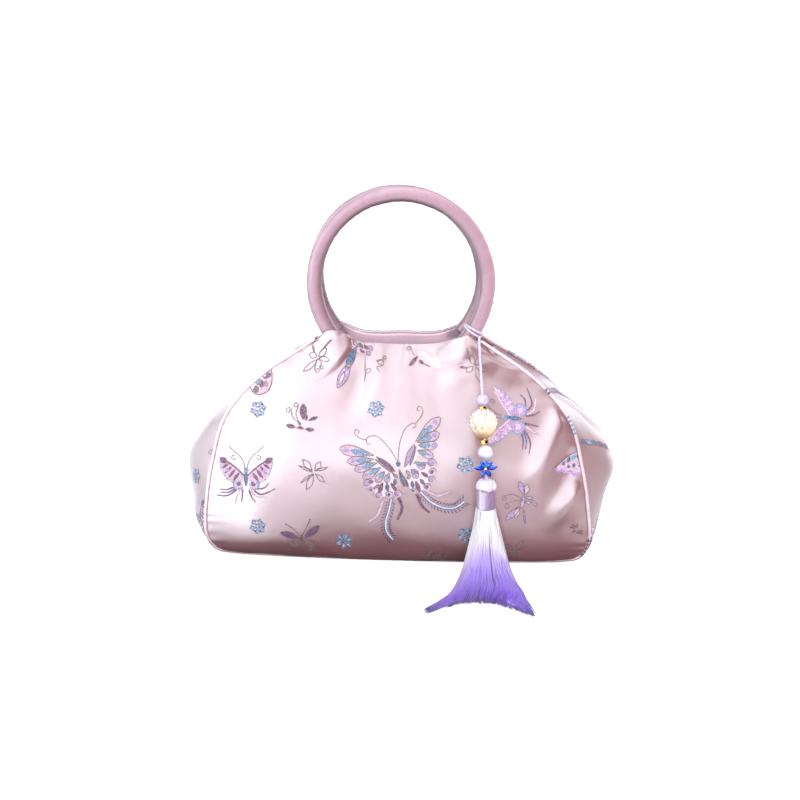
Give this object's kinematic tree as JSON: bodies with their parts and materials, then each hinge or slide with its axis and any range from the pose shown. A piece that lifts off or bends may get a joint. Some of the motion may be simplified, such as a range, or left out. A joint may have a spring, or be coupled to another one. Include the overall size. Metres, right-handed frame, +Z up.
{
  "type": "handbag",
  "caption": "Soft gathered satin brocade handbag with padded leather ring handles, piped side gussets and a beaded tassel charm on a cord.",
  "frame": {"origin": "middle of the flat base, on the surface the bag stands on", "axes": "+Z up, +X to the right along the bag's length, -Y out of the front with the charm"},
  "size_m": [0.2855, 0.1783, 0.2383],
  "materials": {
    "satin_brocade": "woven satin with butterflies and medallions",
    "pink_leather": "soft, slightly creased",
    "lilac_cord": "twisted cord",
    "lavender_stone": "polished, milky",
    "gilt": "polished",
    "carved_lotus": "carved, satin",
    "pearl": "pearly",
    "blue_enamel": "glossy, gilt rims",
    "tassel_silk": "silk threads, white to purple",
    "band_silk": "wound silk"
  },
  "bodies": {
    "root": {"front_panel": "satin_brocade", "back_panel": "satin_brocade", "gusset_left": "satin_brocade", "gusset_right": "satin_brocade", "base_panel": "satin_brocade", "piping_front": "satin_brocade", "piping_back": "satin_brocade", "facing_front": "pink_leather", "facing_back": "pink_leather", "handle_front": "pink_leather", "handle_back": "pink_leather", "cord_wrap": "lilac_cord", "charm_cord": "lilac_cord", "lavender_bead": "lavender_stone", "spacer_upper": "gilt", "lotus_bead": "carved_lotus", "spacer_lower": "gilt", "pearl_bead": "pearl", "flower_charm": "blue_enamel", "tassel_head": "tassel_silk", "tassel_band": "band_silk", "tassel_skirt": "tassel_silk"}
  },
  "joints": []
}
